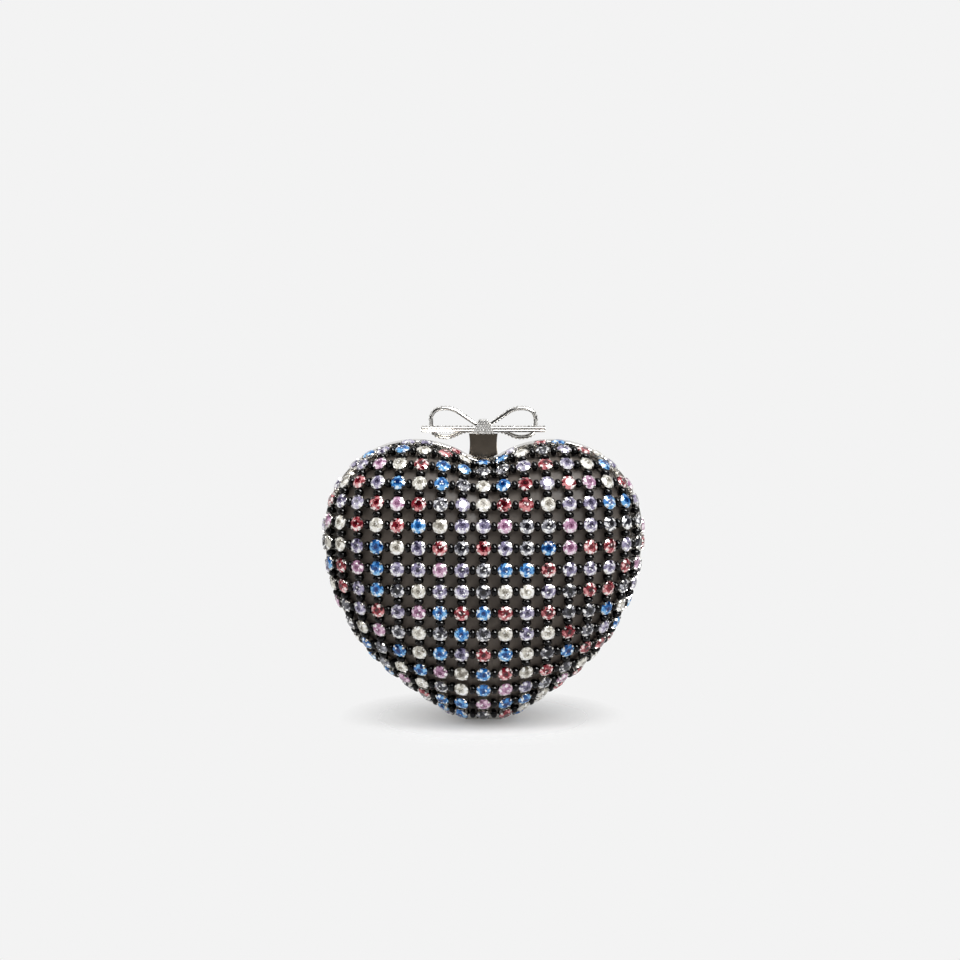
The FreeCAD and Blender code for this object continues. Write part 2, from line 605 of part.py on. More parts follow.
# Bow knot: gathered ribbon that widens from its top to where it sits on the clasp plate
KNOT_FRONT = "(Sizes.tail_front + Sizes.knot_lip)"
KNOT_BACK = f"({LOOP_FRONT} + Sizes.ribbon_width + Sizes.knot_lip)"
knot = doc.addObject("Part::Wedge", "bow_knot")
knot.Placement = FreeCAD.Placement(Vector(), FreeCAD.Rotation(Vector(1, 0, 0), 90))
knot_spans = (("Ymin", "0"), ("Ymax", "Sizes.knot_height"),
              ("Xmin", "-Sizes.knot_foot_half"), ("Xmax", "Sizes.knot_foot_half"),
              ("X2min", "-Sizes.knot_top_half"), ("X2max", "Sizes.knot_top_half"),
              ("Zmin", f"-{KNOT_BACK}"), ("Zmax", KNOT_FRONT),
              ("Z2min", f"-{KNOT_BACK}"), ("Z2max", KNOT_FRONT))
for side, value in knot_spans:
    bound(knot, side, value)
bound(knot, "Placement.Base.z", LEVER_TOP)
piece("bow_knot", knot)

# Bow tails: one straight ribbon each way, level with the knot and ending against it
TAIL_LEVEL = f"({KNOT_LEVEL} - Sizes.tail_drop)"
TAIL_BACK = "Sizes.ribbon_width - Sizes.tail_front"
tail_bar = centred_block("tail_bar", "Sizes.tail_reach", "-Sizes.tail_front", TAIL_BACK,
                         f"{TAIL_LEVEL} - Sizes.tail_thickness / 2",
                         f"{TAIL_LEVEL} + Sizes.tail_thickness / 2")
piece("bow_tails", cut("bow_tails", tail_bar, knot))

# Bow loops: a ribbon on edge that leaves the knot, rises to a round end and dips back below the tails.
# Corners of its line are measured from the knot's middle, and each is rounded as far as its runs allow.
LOOP_CORNERS = [(2.2, 0.6), (11.6, 7.0), (18.8, 6.0), (18.6, -2.6), (12.8, -4.0), (6.8, -1.2), (2.6, -1.1)]
CORNER_SHARE = 0.45


def ribbon_sides(corners, half):
    """The two sides of a ribbon along rounded corners: edges on its left and on its right, in order."""
    sides = {half: [], -half: []}
    last = {}
    runs = [(end - start).normalize() for start, end in zip(corners, corners[1:])]
    lengths = [(end - start).Length for start, end in zip(corners, corners[1:])]

    def beside(point, run, offset):
        return point + Vector(-run.z, 0, run.x) * offset

    for offset in sides:
        last[offset] = beside(corners[0], runs[0], offset)
    for number in range(1, len(corners) - 1):
        before, after, corner = runs[number - 1], runs[number], corners[number]
        trim = CORNER_SHARE * min(lengths[number - 1], lengths[number])
        start, end = corner - before * trim, corner + after * trim
        inward = (after - before).normalize()
        radius = trim / math.tan(before.getAngle(after) / 2)
        centre = corner + inward * math.hypot(trim, radius)
        for offset, edges in sides.items():
            arc_start, arc_end = beside(start, before, offset), beside(end, after, offset)
            reach = (arc_start - centre).Length
            edges.append(Part.LineSegment(last[offset], arc_start).toShape())
            edges.append(Part.Arc(arc_start, centre - inward * reach, arc_end).toShape())
            last[offset] = arc_end
    for offset, edges in sides.items():
        edges.append(Part.LineSegment(last[offset], beside(corners[-1], runs[-1], offset)).toShape())
    return sides[half], sides[-half]


def end_point(edge, last):
    return edge.valueAt(edge.LastParameter if last else edge.FirstParameter)


notch_level = Heart(0).notch_centre - size("notch_radius")
lever_top = notch_level + size("lever_rise")
knot_centre = Vector(0, 0, lever_top + size("knot_lift"))
loop_front = size("ribbon_width") + size("ribbon_gap") - size("tail_front")


def loop_sides(side):
    """Outer and inner edges of one loop's ribbon, on the front face of the loop; side is -1 left, 1 right."""
    corners = [knot_centre + Vector(side * x, loop_front, z) for x, z in LOOP_CORNERS]
    left, right = ribbon_sides(corners, size("ribbon_thickness") / 2)
    return (right, left) if side < 0 else (left, right)


def bow_loop(side):
    outer, inner = loop_sides(side)
    ends = [Part.LineSegment(end_point(outer[-1], True), end_point(inner[-1], True)).toShape(),
            Part.LineSegment(end_point(inner[0], False), end_point(outer[0], False)).toShape()]
    outline = Part.Wire(Part.__sortEdges__(outer + inner + ends))
    return Part.Face(outline).extrude(Vector(0, size("ribbon_width"), 0))


loop_pair = feature("loop_pair", Part.makeCompound([bow_loop(-1), bow_loop(1)]))
piece("bow_loops", cut("bow_loops", loop_pair, knot))


# Round solids along their own axis, from points of a half section
def turned(points):
    section = [Vector(radius, 0, height) for radius, height in points]
    face = Part.Face(Part.makePolygon(section + section[:1]))
    return face.revolve(Vector(), Vector(0, 0, 1), 360)


def placed_copy(master, point, direction):
    copy = master.copy()
    copy.Placement = FreeCAD.Placement(point, FreeCAD.Rotation(Vector(0, 0, 1), direction))
    return copy


# Bow crystals: two rows on the outer faces of the loops and tails, and close rows on the knot's face
crystal = turned([(0, 0), (size("crystal_radius"), 0), (size("crystal_radius") / 2, size("crystal_height")),
                  (0, size("crystal_height"))])
ROW_PLACES = (0.25, 0.75)


def crystal_at(point, outward):
    return placed_copy(crystal, point + outward * size("crystal_gap"), outward)


def knot_half(level):
    """Half the knot's width at a level."""
    share = (level - lever_top) / size("knot_height")
    return size("knot_foot_half") + (size("knot_top_half") - size("knot_foot_half")) * share


def clear_of_knot(point):
    room = 2 * size("crystal_radius")
    above = point.z > lever_top + size("knot_height") + room
    return above or abs(point.x) > knot_half(point.z) + room


def loop_crystals(side):
    outer, inner = loop_sides(side)
    pitch = size("crystal_pitch")
    placed = []
    walked = 0.0
    for edge in outer:
        along = (pitch - walked % pitch) % pitch
        while along < edge.Length:
            parameter = edge.getParameterByLength(along)
            point, tangent = edge.valueAt(parameter), edge.tangentAt(parameter)
            outward = Vector(-side * tangent.z, 0, side * tangent.x)
            if clear_of_knot(point):
                for share in ROW_PLACES:
                    seat = point + Vector(0, share * size("ribbon_width"), 0)
                    placed.append(crystal_at(seat, outward))
            along += pitch
        walked += edge.Length
    return placed


def tail_crystals():
    top = knot_centre.z - size("tail_drop") + size("tail_thickness") / 2
    pitch = size("crystal_pitch")
    placed = []
    for side in (-1, 1):
        reach = size("tail_reach") - size("crystal_radius") - size("crystal_gap")
        while clear_of_knot(Vector(reach, 0, top)):
            for share in ROW_PLACES:
                seat = Vector(side * reach, share * size("ribbon_width") - size("tail_front"), top)
                placed.append(crystal_at(seat, Vector(0, 0, 1)))
            reach -= pitch
    return placed


def knot_crystals():
    """Level rows on the knot's front face, each as full as the knot is wide there."""
    front = -size("tail_front") - size("knot_lip")
    pitch = size("crystal_pitch")
    margin = size("crystal_radius") + size("crystal_gap")
    rows = int((size("knot_height") - 2 * margin) / pitch) + 1
    placed = []
    for row in range(rows):
        level = lever_top + margin + row * (size("knot_height") - 2 * margin) / (rows - 1)
        count = int(2 * (knot_half(level) - margin) / pitch) + 1
        for number in range(count):
            seat = Vector((number - (count - 1) / 2) * pitch, front, level)
            placed.append(crystal_at(seat, Vector(0, -1, 0)))
    return placed


crystals = loop_crystals(-1) + loop_crystals(1) + tail_crystals() + knot_crystals()
piece("bow_crystals", feature("bow_crystals", Part.makeCompound(crystals)))


# The stone net: a square net of even pitch drawn over the dome from its middle column and middle row.
# Stones of the edge row are kept in columns past any of the net's own. A link within a small share of the
# pitch carries a bead.
EDGE_COLUMN = 1000
EDGE_STEPS = 720
LINK_SLACK = 0.1
MOST_TURNS = 60
SIGHT_SLOPE = math.tan(math.radians(5.6))


class Dome:
    """The front dome as a surface: heart sections that shrink along a full quarter oval."""

    def __init__(self, inset, rise):
        self.heart = Heart(inset)
        self.rise = rise

    def value(self, point):
        """1 on the surface, less inside it and more outside it."""
        flat = Vector(point.x, 0, point.z - size("dome_centre"))
        distance = flat.Length
        gauge = 0.0
        if distance > TINY:
            gauge = distance / self.heart.reach(flat / distance)
        height = max(-point.y - size("rim_depth"), 0.0)
        power = size("dome_power")
        return gauge**power + (height / self.rise) ** power

    def slope(self, point):
        step = 100 * TINY
        axes = (Vector(step, 0, 0), Vector(0, step, 0), Vector(0, 0, step))
        return Vector(*[(self.value(point + axis) - self.value(point - axis)) / (2 * step) for axis in axes])

    def outward(self, point):
        return self.slope(point).normalize()

    def under(self, point, direction):
        """The surface point met from point against direction."""
        for turn in range(MOST_TURNS):
            away = (self.value(point) - 1) / self.slope(point).dot(direction)
            point = point - direction * away
        return point


frame_outline = Heart(0)
shell_dome = Dome(size("shell_inset"), size("dome_rise"))
net_dome = Dome(size("shell_inset") - size("net_lift"), size("dome_rise") + size("net_lift"))


def on_net(point):
    return net_dome.value(point) - 1, net_dome.slope(point)


def at_pitch(other, share=1.0):
    def condition(point):
        away = point - other
        return away.Length**2 - (share * size("net_pitch")) ** 2, away * 2

    return condition


def row_share(row):
    """Share of the pitch between a row and its neighbour nearer the middle row."""
    return size("net_gather") if row < -size("net_even_rows") else 1.0


def in_plane(through, normal):
    def condition(point):
        return (point - through).dot(normal), normal

    return condition


def settled(point, conditions):
    """The point near this one that meets three conditions, or None where there is none."""
    longest = size("net_pitch") / 2
    for turn in range(MOST_TURNS):
        (a, slope_a), (b, slope_b), (c, slope_c) = [condition(point) for condition in conditions]
        whole = slope_a.dot(slope_b.cross(slope_c))
        if abs(whole) < TINY**2:
            return None
        move = slope_b.cross(slope_c) * a + slope_c.cross(slope_a) * b + slope_a.cross(slope_b) * c
        move = move / -whole
        if move.Length > longest:
            move = move * (longest / move.Length)
        point = point + move
        if move.Length < TINY:
            return point
    return None


def stretched(last, before, share=1.0):
    """The next point straight on from two points in a line of the net."""
    across = net_dome.outward(last).cross(last - before)
    return settled(last * 2 - before, [on_net, at_pitch(last, share), in_plane(last, across)])


def seat_on_shell(point):
    """Where something on the net sits above the shell, and the way out from the shell there."""
    outward = net_dome.outward(point)
    return shell_dome.under(point, outward) + outward * size("seat_gap"), outward


STONE_RINGS = ((size("cup_height"), size("cup_radius")),
               (size("cup_height") + size("stone_girdle") + size("stone_crown"), size("stone_table")))


def above_floor(point):
    seat, outward = seat_on_shell(point)
    across = math.hypot(outward.x, outward.y)
    lowest = min(seat.z + outward.z * height - across * radius for height, radius in STONE_RINGS)
    return lowest > size("floor_gap")


lobe_level = size("heart_height") - size("lobe_radius")


def behind_frame(point):
    """Whether a stone here on the back is out of sight for someone in front who looks a little down."""
    seat, outward = seat_on_shell(point)
    if seat.z < lobe_level:
        return True
    spread = Vector(outward.x, 0, outward.z).normalize()
    edgeways = (spread - outward * spread.dot(outward)).normalize()
    for height, radius in STONE_RINGS:
        edge = seat + outward * height + edgeways * radius
        raised = (-edge.y - size("rim_depth")) * SIGHT_SLOPE
        seen = Vector(edge.x, 0, edge.z + raised - size("dome_centre"))
        if seen.Length > frame_outline.reach(seen / seen.Length) + size("back_show"):
            return False
    return True


def lone(key, covered):
    """Whether a stone up in the lobes has no stone beside it in its row."""
    column, row = key
    beside = {(column - 1, row), (column + 1, row)}
    return net[key].z > lobe_level and not beside & covered


def drape():
    """Places of the net's stones on its right half, by column and row."""
    level = Vector(0, 0, size("net_level"))
    start = Vector(0, -size("rim_depth") - size("dome_rise"), size("net_level"))
    sideways, upwards = Vector(1, 0, 0), Vector(0, 0, 1)
    places = {(0, 0): settled(start, [on_net, in_plane(level, sideways), in_plane(level, upwards)])}

    def keep(key, point):
        """Stores a place that lies on the dome, clear of the frame and of the stones already there."""
        if point is None or -point.y < size("rim_depth") + size("net_edge") or not above_floor(point):
            return False
        if point.x < -TINY or (key[0] and 2 * point.x < size("net_clear")):
            return False
        if any((point - other).Length < size("net_clear") for other in places.values()):
            return False
        places[key] = point
        return True

    def lay_line(heading, plane, column_step, row_step):
        """Places one after the other along a middle line of the net."""
        last = places[0, 0]
        guess = last + heading * size("net_pitch")
        number = 1
        key = (column_step, row_step)
        while keep(key, settled(guess, [on_net, at_pitch(last, row_share(key[1])), plane])):
            guess = places[key] * 2 - last
            last = places[key]
            number += 1
            key = (number * column_step, number * row_step)

    lay_line(upwards, in_plane(level, sideways), 0, 1)
    lay_line(-upwards, in_plane(level, sideways), 0, -1)
    lay_line(sideways, in_plane(level, upwards), 1, 0)
    most = int(size("heart_height") / size("net_pitch"))
    for heading in (1, -1):
        for row in range(heading, heading * most, heading):
            for column in range(1, most):
                inner, below = places.get((column - 1, row)), places.get((column, row - heading))
                corner = places.get((column - 1, row - heading))
                further, lower = places.get((column - 2, row)), places.get((column, row - 2 * heading))
                share = row_share(row)
                if inner and below and corner:
                    reaches = [on_net, at_pitch(inner), at_pitch(below, share)]
                    keep((column, row), settled(inner + below - corner, reaches))
                elif below and lower:
                    keep((column, row), stretched(below, lower, share))
                elif inner and further:
                    keep((column, row), stretched(inner, further))
    return places


def edge_places(places):
    """Stones along the frame on the right half, wherever the net leaves room for one more."""
    power = size("dome_power")
    share = (1 - (size("net_edge") / net_dome.rise) ** power) ** (1 / power)
    middle = Vector(0, -size("rim_depth") - size("net_edge"), size("dome_centre"))
    taken = list(places.values())
    found = []
    for step in range(EDGE_STEPS + 1):
        angle = math.pi * step / EDGE_STEPS
        heading = Vector(math.sin(angle), 0, math.cos(angle))
        point = middle + heading * (net_dome.heart.reach(heading) * share)
        others = taken + [mirrored(other) for other in taken if other.x > 0] + [mirrored(point)]
        if above_floor(point) and all((point - other).Length >= size("net_fill") for other in others):
            taken.append(point)
            found.append(point)
    return found


net = drape()
for number, point in enumerate(edge_places(net), start=1):
    net[EDGE_COLUMN + number, 0] = point
for column, row in [key for key in net if key[0]]:
    net[-column, row] = mirrored(net[column, row])


def turned_back(point):
    """A front place or direction on the back half."""
    return Vector(point.x, -point.y, point.z)


# Stone cups: a turned cup with a tapered foot and a conical seat
seat_top = size("stone_radius") + size("stone_fit")
cup = turned([(0, 0), (size("cup_foot_radius"), 0), (size("cup_radius"), size("cup_foot_height")),
              (size("cup_radius"), size("cup_height")), (seat_top, size("cup_height")),
              (size("stone_culet") + size("stone_fit"), size("cup_floor")), (0, size("cup_floor"))])

# Stones: a pointed back in the cup, a thin girdle, and a crown with a flat table
girdle_low = size("cup_height")
girdle_high = girdle_low + size("stone_girdle")
stone_low = size("cup_floor") + size("stone_fit")
table_level = girdle_high + size("stone_crown")
stone = turned([(0, stone_low), (size("stone_culet"), stone_low),
                (size("stone_radius"), girdle_low + size("stone_fit")), (size("stone_radius"), girdle_high),
                (size("stone_table"), table_level), (0, table_level)])

# Beads: a short barrel with broken ends in each link, as long as the two cups leave room for
def bead(link):
    half = link / 2 - size("cup_radius") - size("bead_gap")
    flat = size("bead_radius") - size("bead_chamfer")
    edge = half - size("bead_chamfer")
    return turned([(0, -half), (flat, -half), (size("bead_radius"), -edge), (size("bead_radius"), edge),
                   (flat, half), (0, half)])


# Stone colours, with how often each comes up in a seeded scatter
COLOURS = {"clear": 4, "sapphire": 4, "lavender": 5, "rose": 4, "pink": 2, "smoke": 3}
SCATTER_SEEDS = {"front": 11, "back": 29}

for name, seed in SCATTER_SEEDS.items():
    keep_side = turned_back if name == "back" else Vector
    draw = random.Random(seed)
    cups, beads = [], []
    stones = {colour: [] for colour in COLOURS}
    covered = set(net)
    if name == "back":
        covered = {key for key in covered if behind_frame(net[key])}
        covered = {key for key in covered if not lone(key, covered)}
    for key in sorted(covered):
        seat, outward = [keep_side(vector) for vector in seat_on_shell(net[key])]
        colour = draw.choices(list(COLOURS), weights=COLOURS.values())[0]
        cups.append(placed_copy(cup, seat, outward))
        stones[colour].append(placed_copy(stone, seat, outward))
        for link in ((key[0] + 1, key[1]), (key[0], key[1] + 1)):
            if link not in covered:
                continue
            run = net[link] - net[key]
            if abs(run.Length / size("net_pitch") - 1) < LINK_SLACK:
                seat, outward = seat_on_shell((net[key] + net[link]) / 2)
                middle = keep_side(seat + outward * size("bead_radius"))
                beads.append(placed_copy(bead(run.Length), middle, keep_side(run)))
    piece(f"{name}_stone_cups", feature(f"{name}_stone_cups", Part.makeCompound(cups)))
    piece(f"{name}_beads", feature(f"{name}_beads", Part.makeCompound(beads)))
    for colour, group in stones.items():
        node = f"{name}_stones_{colour}"
        piece(node, feature(node, Part.makeCompound(group)))

# Every object has to be sound before anything is written
doc.recompute()
for obj in doc.Objects:
    if "Invalid" in obj.State or "Error" in obj.State:
        raise RuntimeError(f"{obj.Label} did not compute: {obj.State}")
for node, obj in pieces.items():
    if obj.Shape.isNull() or not obj.Shape.isValid() or not obj.Shape.Solids:
        raise RuntimeError(f"{node} is not a sound solid")

os.makedirs("parts", exist_ok=True)
for node, obj in pieces.items():
    obj.Shape.exportStep(f"parts/{node}.step")
    box = obj.Shape.BoundBox
    print(f"{node}: {len(obj.Shape.Solids)} solids, {obj.Shape.Volume:.1f} mm3, "
          f"x {box.XMin:.2f} to {box.XMax:.2f}, y {box.YMin:.2f} to {box.YMax:.2f}, "
          f"z {box.ZMin:.2f} to {box.ZMax:.2f}")
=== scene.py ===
import math
import random

import bmesh
import bpy
import numpy as np
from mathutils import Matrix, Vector, kdtree


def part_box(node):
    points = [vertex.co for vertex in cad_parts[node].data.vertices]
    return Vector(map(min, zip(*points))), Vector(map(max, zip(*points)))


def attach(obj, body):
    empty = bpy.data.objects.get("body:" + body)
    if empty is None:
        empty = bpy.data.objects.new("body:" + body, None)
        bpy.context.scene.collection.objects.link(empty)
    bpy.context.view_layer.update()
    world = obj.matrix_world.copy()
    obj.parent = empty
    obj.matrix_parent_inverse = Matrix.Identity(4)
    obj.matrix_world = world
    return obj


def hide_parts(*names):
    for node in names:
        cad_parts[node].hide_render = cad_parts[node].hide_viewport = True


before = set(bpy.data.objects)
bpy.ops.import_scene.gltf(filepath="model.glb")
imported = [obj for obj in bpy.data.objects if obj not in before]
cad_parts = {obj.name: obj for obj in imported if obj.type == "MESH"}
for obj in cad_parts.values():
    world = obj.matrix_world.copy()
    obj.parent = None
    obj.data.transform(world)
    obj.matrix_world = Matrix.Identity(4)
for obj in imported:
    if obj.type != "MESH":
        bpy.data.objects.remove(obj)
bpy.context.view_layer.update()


# Domed shells
# The two pressed half shells under the net, coated in a dark taupe satin lacquer.
# They are the CAD shells themselves with the lacquer on them.
def linear(red, green, blue):
    """A colour written as 0 to 255 screen values, as the shader's linear values."""
    levels = []
    for level in (red, green, blue):
        share = level / 255.0
        if share <= 0.04045:
            levels.append(share / 12.92)
        else:
            levels.append(((share + 0.055) / 1.055) ** 2.4)
    return (levels[0], levels[1], levels[2], 1.0)


def new_material(name):
    """A material with a Principled shader."""
    material = bpy.data.materials.new(name)
    material.use_nodes = True
    return material


def shader_of(material):
    """The Principled shader of a material."""
    return material.node_tree.nodes["Principled BSDF"]


def add_socket(group, name, way, kind, value=None):
    """A named input or output of a node group, with the value it starts from."""
    socket = group.interface.new_socket(name, in_out=way, socket_type=kind)
    if value is not None:
        socket.default_value = value


# the mottle, the smears and the grain of a surface that has been handled: fineness and detail of each
handled_noises = (("Mottle", 0.6, 4.0), ("Smear", 2.2, 6.0), ("Grain", 14.0, 2.0))
handled = bpy.data.node_groups.new("handled surface", "ShaderNodeTree")
add_socket(handled, "Scale", "INPUT", "NodeSocketFloat", 100.0)
inside = handled.nodes
entry = inside.new("NodeGroupInput")
leaving = inside.new("NodeGroupOutput")
spot = inside.new("ShaderNodeTexCoord")
sized = inside.new("ShaderNodeVectorMath")
sized.operation = "SCALE"
handled.links.new(spot.outputs["Object"], sized.inputs[0])
handled.links.new(entry.outputs["Scale"], sized.inputs["Scale"])
for output, fineness, detail in handled_noises:
    add_socket(handled, output, "OUTPUT", "NodeSocketFloat")
    noise = inside.new("ShaderNodeTexNoise")
    noise.inputs["Scale"].default_value = fineness
    noise.inputs["Detail"].default_value = detail
    handled.links.new(sized.outputs["Vector"], noise.inputs["Vector"])
    handled.links.new(noise.outputs["Fac"], leaving.inputs[output])


smear_range = (0.3, 0.7)
grain_depth = 0.0001


def handled_material(name, colours, roughness, scale, metallic, grain):
    """A Principled material whose colour and roughness wander between two values each."""
    material = new_material(name)
    shader = shader_of(material)
    tree = material.node_tree
    surface = tree.nodes.new("ShaderNodeGroup")
    surface.node_tree = handled
    surface.inputs["Scale"].default_value = scale
    tint = tree.nodes.new("ShaderNodeMix")
    tint.data_type = "RGBA"
    tint.inputs[6].default_value = colours[0]
    tint.inputs[7].default_value = colours[1]
    tree.links.new(surface.outputs["Mottle"], tint.inputs["Factor"])
    tree.links.new(tint.outputs[2], shader.inputs["Base Color"])
    polish = tree.nodes.new("ShaderNodeMapRange")
    polish.inputs["From Min"].default_value = smear_range[0]
    polish.inputs["From Max"].default_value = smear_range[1]
    polish.inputs["To Min"].default_value = roughness[0]
    polish.inputs["To Max"].default_value = roughness[1]
    tree.links.new(surface.outputs["Smear"], polish.inputs["Value"])
    tree.links.new(polish.outputs["Result"], shader.inputs["Roughness"])
    bump = tree.nodes.new("ShaderNodeBump")
    bump.inputs["Strength"].default_value = grain
    bump.inputs["Distance"].default_value = grain_depth
    tree.links.new(surface.outputs["Grain"], bump.inputs["Height"])
    tree.links.new(bump.outputs["Normal"], shader.inputs["Normal"])
    shader.inputs["Metallic"].default_value = metallic
    return material


def put_on(material, *nodes):
    """Gives CAD nodes a material in place of the one they came with."""
    for node in nodes:
        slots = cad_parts[node].data.materials
        slots.clear()
        slots.append(material)


lacquer = handled_material(
    "taupe lacquer", (linear(60, 54, 49), linear(116, 107, 100)), (0.46, 0.6), 90.0, 0.0, 0.12)
shader_of(lacquer).inputs["Specular IOR Level"].default_value = 0.14
put_on(lacquer, "front_shell", "back_shell")


# Linings
# A moulded liner in each shell, flocked with a short dark pile.
# The pile is a fine grain with a soft sheen on the CAD liners.
flock = handled_material(
    "dark flock", (linear(46, 38, 42), linear(62, 52, 57)), (0.9, 1.0), 420.0, 0.0, 0.6)
shader_of(flock).inputs["Sheen Weight"].default_value = 0.6
shader_of(flock).inputs["Sheen Roughness"].default_value = 0.4
put_on(flock, "front_lining", "back_lining")


# Frames
# The two polished heart-shaped bands that meet on the parting plane.
# Each is the CAD rim with its sharp edges eased, as a polished band has them.
weld_reach = 0.000002
flat_limit = math.radians(0.3)
sharp_limit = math.radians(40.0)
edge_steps = 3


def eased_copy(name, node, finish, radius, swell=0.0):
    """A copy of a CAD node in a finish, its sharp edges rounded and its faces moved out by a swell."""
    solid = bmesh.new()
    solid.from_mesh(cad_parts[node].data)
    bmesh.ops.remove_doubles(solid, verts=solid.verts, dist=weld_reach)
    bmesh.ops.dissolve_limit(solid, angle_limit=flat_limit, verts=solid.verts, edges=solid.edges)
    sharp = []
    for edge in solid.edges:
        if edge.is_manifold and edge.calc_face_angle() > sharp_limit:
            sharp.append(edge)
    bmesh.ops.bevel(solid, geom=sharp, offset=radius, offset_type="OFFSET", segments=edge_steps,
                    profile=0.5, affect="EDGES", clamp_overlap=True)
    solid.normal_update()
    for corner in solid.verts:
        corner.co += corner.normal * swell
    mesh = bpy.data.meshes.new(name)
    solid.to_mesh(mesh)
    solid.free()
    mesh.shade_smooth()
    mesh.materials.clear()
    mesh.materials.append(finish)
    piece = bpy.data.objects.new(name, mesh)
    bpy.context.scene.collection.objects.link(piece)
    even = piece.modifiers.new("even normals", "WEIGHTED_NORMAL")
    even.keep_sharp = True
    return piece


silver = handled_material(
    "polished silver", (linear(176, 173, 168), linear(206, 203, 198)), (0.08, 0.18),
    120.0, 1.0, 0.02)
band_edge = 0.0004
for side in ("front", "back"):
    band = eased_copy(side + "_band", side + "_rim", silver, band_edge)
    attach(band, side + "_half")
    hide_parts(side + "_rim")


# Stone cups
# A silver cup for each stone, turned, with four claws bent over the stone's edge.
# Places and directions are read from the CAD cups, and the claws stand between the links.
MM = 0.001
purse_middle = Vector((0.0, 0.0, 0.054))
turned_weld = 0.000001


def turned_solids(node):
    """Axis foot, axis direction, height and lean of each turned solid of a CAD node.

    The lean says how far the corners' middle lies beyond the surface's middle along the axis.
    """
    solid = bmesh.new()
    solid.from_mesh(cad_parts[node].data)
    bmesh.ops.remove_doubles(solid, verts=solid.verts, dist=turned_weld)
    waiting = set(solid.verts)
    found = []
    while waiting:
        members = set()
        edge_of_search = [waiting.pop()]
        while edge_of_search:
            corner = edge_of_search.pop()
            members.add(corner)
            for edge in corner.link_edges:
                other = edge.other_vert(corner)
                if other in waiting:
                    waiting.remove(other)
                    edge_of_search.append(other)
        faces = set()
        for corner in members:
            faces.update(corner.link_faces)
        weights = np.array([face.calc_area() for face in faces])
        normals = np.array([face.normal for face in faces])
        middles = np.array([face.calc_center_median() for face in faces])
        centre = (middles * weights[:, None]).sum(axis=0) / weights.sum()
        spread, ways = np.linalg.eigh((normals * weights[:, None]).T @ normals)
        # two of the three spreads of a turned solid are alike, and the odd one is its axis
        odd = 2 if spread[2] - spread[1] > spread[1] - spread[0] else 0
        axis = Vector(ways[:, odd])
        points = np.array([corner.co for corner in members])
        if (Vector(centre) - purse_middle).dot(axis) < 0.0:
            axis = -axis
        along = (points - centre) @ np.array(axis)
        foot = Vector(centre) + axis * float(along.min())
        lean = float(along.mean())
        found.append((foot, axis, float(along.max() - along.min()), lean))
    solid.free()
    found.sort(key=lambda one: (round(one[0].z, 5), round(one[0].x, 5), round(one[0].y, 5)))
    return found


def turn_of(axis, towards):
    """Rotation matrix whose z is the axis and whose x points as nearly as it can one way."""
    across = (towards - axis * towards.dot(axis)).normalized()
    return np.array((across, axis.cross(across), axis)).T


def lathe(profile, sides):
    """Corners and faces of a shape turned about z; a profile point on the axis is a pole."""
    corners = []
    rings = []
    for radius, height in profile:
        ring = []
        count = sides if radius > 0.0 else 1
        for step in range(count):
            angle = 2.0 * math.pi * step / sides
            ring.append(len(corners))
            corners.append((radius * math.cos(angle), radius * math.sin(angle), height))
        rings.append(ring)
    faces = []
    for low, high in zip(rings, rings[1:]):
        for step in range(sides):
            after = (step + 1) % sides
            if len(low) == 1:
                faces.append((low[0], high[after], high[step]))
            elif len(high) == 1:
                faces.append((low[step], low[after], high[0]))
            else:
                faces.append((low[step], low[after], high[after], high[step]))
    return corners, faces


def joined_copies(name, shape, places):
    """One object that holds a copy of a shape, drawn in millimetres, at each place."""
    corners, faces = shape
    template = np.array(corners) * MM
    all_corners = []
    all_faces = []
    for turn, foot in places:
        start = len(all_corners)
        all_corners.extend((template @ turn.T + np.array(foot)).tolist())
        for face in faces:
            all_faces.append([start + corner for corner in face])
    mesh = bpy.data.meshes.new(name)
    mesh.from_pydata(all_corners, [], all_faces)
    piece = bpy.data.objects.new(name, mesh)
    bpy.context.scene.collection.objects.link(piece)
    return piece


# radius and height of the cup's outline, from the middle of its foot over the rim to its seat
cup_sides = 20
claw_count = 4
cup_corners, cup_faces = lathe(
    ((0.0, 0.0), (2.0, 0.0), (2.38, 0.4), (2.52, 0.85), (2.52, 1.95), (2.48, 2.05), (2.3, 2.05),
     (0.81, 0.5), (0.0, 0.5)), cup_sides)
# a claw: radius, height, width and thickness of its sections, from the wall to the tip
claw_sections = ((2.60, 1.50, 0.90, 0.24), (2.68, 2.30, 0.90, 0.24), (2.58, 2.60, 0.80, 0.26),
                 (2.32, 2.77, 0.68, 0.24), (2.08, 2.90, 0.44, 0.14))
claw_outline = ((-0.5, -0.5), (0.5, -0.5), (0.5, 0.5), (-0.5, 0.5))
outline_size = len(claw_outline)
for claw in range(claw_count):
    heading = 2.0 * math.pi * (claw + 0.5) / claw_count
    outward = Vector((math.cos(heading), math.sin(heading), 0.0))
    sideways = Vector((-math.sin(heading), math.cos(heading), 0.0))
    first = len(cup_corners)
    for section, (radius, height, width, thickness) in enumerate(claw_sections):
        low = claw_sections[max(section - 1, 0)]
        high = claw_sections[min(section + 1, len(claw_sections) - 1)]
        lie = (outward * (high[0] - low[0]) + Vector((0.0, 0.0, high[1] - low[1]))).normalized()
        over = sideways.cross(lie)
        middle = outward * radius + Vector((0.0, 0.0, height))
        for side_share, over_share in claw_outline:
            aside = sideways * width * side_share
            cup_corners.append(tuple(middle + aside + over * thickness * over_share))
    last = len(cup_corners) - outline_size
    cup_faces.append((first + 3, first + 2, first + 1, first))
    cup_faces.append((last, last + 1, last + 2, last + 3))
    for ring in range(first, last, outline_size):
        beyond = ring + outline_size
        for corner in range(outline_size):
            after = (corner + 1) % outline_size
            cup_faces.append((ring + corner, ring + after, beyond + after, beyond + corner))

